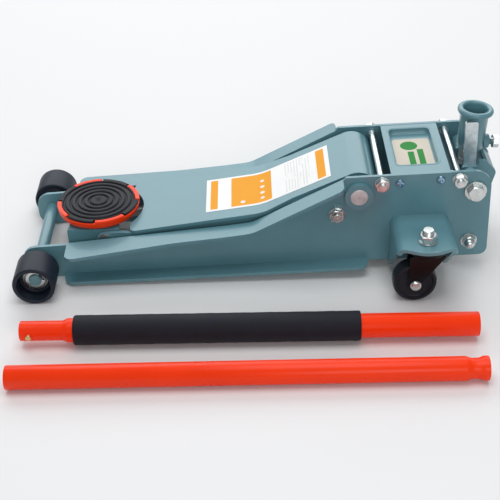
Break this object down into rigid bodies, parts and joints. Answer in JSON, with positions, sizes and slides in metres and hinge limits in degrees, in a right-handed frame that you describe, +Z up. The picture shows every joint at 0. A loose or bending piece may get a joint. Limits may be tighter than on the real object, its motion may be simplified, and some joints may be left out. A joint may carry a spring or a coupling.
{
  "type": "hydraulic floor jack",
  "caption": "Low-profile hydraulic trolley jack with swivelling saddle, levelled lift arm, rear swivel casters, upright handle socket and a loose two-piece padded handle",
  "frame": {"origin": "floor level, at the middle of the footprint of the jack with its loose handle halves beside it", "axes": "+X rearward from the saddle to the handle socket, +Y to the right-hand side away from the loose handle halves, +Z up"},
  "size_m": [0.699, 0.5075, 0.2234],
  "materials": {
    "frame_paint": "glossy teal-grey enamel",
    "saddle_paint": "orange-red enamel",
    "saddle_rubber": "matte black rubber",
    "wheel_paint": "semi-gloss blue-black enamel on steel",
    "caster_black": "gloss black enamel",
    "caster_tread": "matte black nylon",
    "zinc_plate": "bright zinc plate",
    "bare_steel": "turned bare steel",
    "polished_steel": "ground and polished steel",
    "cast_block": "painted casting",
    "spring_steel": "dark oiled spring wire",
    "handle_paint": "gloss orange-red powder coat",
    "brass_pin": "yellow zinc pin",
    "foam_sleeve": "closed-cell dark navy foam",
    "label_film": "white printed film"
  },
  "bodies": {
    "chassis": {"side_plate_left": "frame_paint", "side_plate_right": "frame_paint", "front_axle": "frame_paint", "axle_washers": "zinc_plate", "pivot_shaft": "bare_steel", "front_tie_rod": "bare_steel", "rear_tie_rod": "bare_steel", "tie_rod_nuts": "zinc_plate", "yoke_bolts": "zinc_plate", "link_anchors": "zinc_plate", "rear_cross_bolt": "zinc_plate", "rear_dome_nuts": "zinc_plate", "unit_cover": "frame_paint", "cover_screws": "zinc_plate", "cover_label": "label_film", "pump_block": "cast_block", "ram_cylinder": "bare_steel", "filler_plug": "zinc_plate", "return_springs": "spring_steel", "caster_bracket_left": "frame_paint", "caster_bracket_right": "frame_paint"},
    "lift_arm": {"arm_top_plate": "frame_paint", "arm_cheek_left": "frame_paint", "arm_cheek_right": "frame_paint", "pivot_sleeve": "frame_paint", "ram_levers": "frame_paint", "lever_pin": "bare_steel", "arm_brace": "frame_paint", "head_pins": "zinc_plate", "arm_label": "label_film"},
    "levelling_rods": {"levelling_rod_left": "bare_steel", "levelling_rod_right": "bare_steel"},
    "saddle_carrier": {"saddle_bracket": "frame_paint", "link_pins": "bare_steel"},
    "saddle": {"saddle_dish": "saddle_paint", "saddle_pad": "saddle_rubber"},
    "ram": {"ram_rod": "polished_steel"},
    "handle_yoke": {"socket_tube": "frame_paint", "yoke_bars": "zinc_plate", "yoke_fork": "frame_paint", "drive_roller": "bare_steel", "roller_pin": "bare_steel"},
    "pump_plunger_set": {"pump_plungers": "polished_steel"},
    "clamp": {"clamp_screw": "zinc_plate"},
    "release_valve": {"release_valve_stem": "zinc_plate"},
    "roller_left": {"front_wheel_left": "wheel_paint"},
    "roller_right": {"front_wheel_right": "wheel_paint"},
    "caster_swivel_left": {"caster_fork_left": "caster_black", "caster_stem_left": "zinc_plate", "caster_axle_left": "zinc_plate"},
    "caster_swivel_right": {"caster_fork_right": "caster_black", "caster_stem_right": "zinc_plate", "caster_axle_right": "zinc_plate"},
    "caster_roller_left": {"caster_wheel_left": "caster_tread"},
    "caster_roller_right": {"caster_wheel_right": "caster_tread"},
    "upper_handle": {"upper_handle_tube": "handle_paint", "handle_pin": "brass_pin", "handle_sleeve": "foam_sleeve"},
    "lower_handle": {"lower_handle_tube": "handle_paint"}
  },
  "joints": [
    {"name": "arm_lift", "type": "hinge", "parent": "chassis", "child": "lift_arm", "pos_m": [0.14246, 0.08182, 0.12894], "axis": [0, 1, 0], "range_deg": [0, 70], "deforming": ["return_springs"]},
    {"name": "rods_swing", "type": "hinge", "parent": "chassis", "child": "levelling_rods", "pos_m": [0.11187, 0.08182, 0.09802], "axis": [0, 1, 0], "range_deg": [0, 70]},
    {"name": "saddle_level", "type": "hinge", "parent": "lift_arm", "child": "saddle_carrier", "pos_m": [-0.22301, 0.08182, 0.05507], "axis": [0, 1, 0], "range_deg": [-70, 0]},
    {"name": "saddle_turn", "type": "hinge", "parent": "saddle_carrier", "child": "saddle", "pos_m": [-0.23531, 0.08182, 0.06], "axis": [0, 0, 1], "continuous": true},
    {"name": "ram_slide", "type": "slide", "parent": "chassis", "child": "ram", "axis": [-0.9996, 0, -0.0297], "range_m": [0, 0.0692]},
    {"name": "handle_pump", "type": "hinge", "parent": "chassis", "child": "handle_yoke", "pos_m": [0.30598, 0.08182, 0.13079], "axis": [0, 1, 0], "range_deg": [0, 60], "stiffness_Nm_per_rad": 2, "springref_deg": -22.92},
    {"name": "plunger_slide", "type": "slide", "parent": "chassis", "child": "pump_plunger_set", "axis": [-0.9996, 0, -0.0297], "range_m": [0, 0.0302]},
    {"name": "clamp_screw_in", "type": "slide", "parent": "handle_yoke", "child": "clamp", "axis": [-0.9977, 0, 0.068], "range_m": [0, 0.005]},
    {"name": "release_valve_turn", "type": "hinge", "parent": "chassis", "child": "release_valve", "pos_m": [0.28124, 0.10182, 0.05403], "axis": [0.9996, 0, 0.0297], "range_deg": [0, 90]},
    {"name": "front_wheel_spin_left", "type": "hinge", "parent": "chassis", "child": "roller_left", "pos_m": [-0.31931, -0.03118, 0.0302], "axis": [0, 1, 0], "continuous": true},
    {"name": "front_wheel_spin_right", "type": "hinge", "parent": "chassis", "child": "roller_right", "pos_m": [-0.31931, 0.19482, 0.0302], "axis": [0, 1, 0], "continuous": true},
    {"name": "caster_swivel_left", "type": "hinge", "parent": "chassis", "child": "caster_swivel_left", "pos_m": [0.23169, -0.06218, 0.06], "axis": [0, 0, 1], "continuous": true},
    {"name": "caster_wheel_spin_left", "type": "hinge", "parent": "caster_swivel_left", "child": "caster_roller_left", "pos_m": [0.21669, -0.06218, 0.031], "axis": [0, 1, 0], "continuous": true},
    {"name": "caster_swivel_right", "type": "hinge", "parent": "chassis", "child": "caster_swivel_right", "pos_m": [0.23169, 0.22582, 0.06], "axis": [0, 0, 1], "continuous": true},
    {"name": "caster_wheel_spin_right", "type": "hinge", "parent": "caster_swivel_right", "child": "caster_roller_right", "pos_m": [0.21669, 0.22582, 0.031], "axis": [0, 1, 0], "continuous": true},
    {"name": "upper_handle_lift", "type": "slide", "parent": "chassis", "child": "upper_handle", "axis": [0, 0, 1], "range_m": [0, 0.4]},
    {"name": "lower_handle_lift", "type": "slide", "parent": "chassis", "child": "lower_handle", "axis": [0, 0, 1], "range_m": [0, 0.4]}
  ],
  "couplings": [
    {"joint": "rods_swing", "follows": "arm_lift", "ratio": 1},
    {"joint": "saddle_level", "follows": "arm_lift", "ratio": -1},
    {"joint": "ram_slide", "follows": "arm_lift", "m_per_rad": 0.056337},
    {"joint": "plunger_slide", "follows": "handle_pump", "m_per_rad": 0.028648}
  ]
}
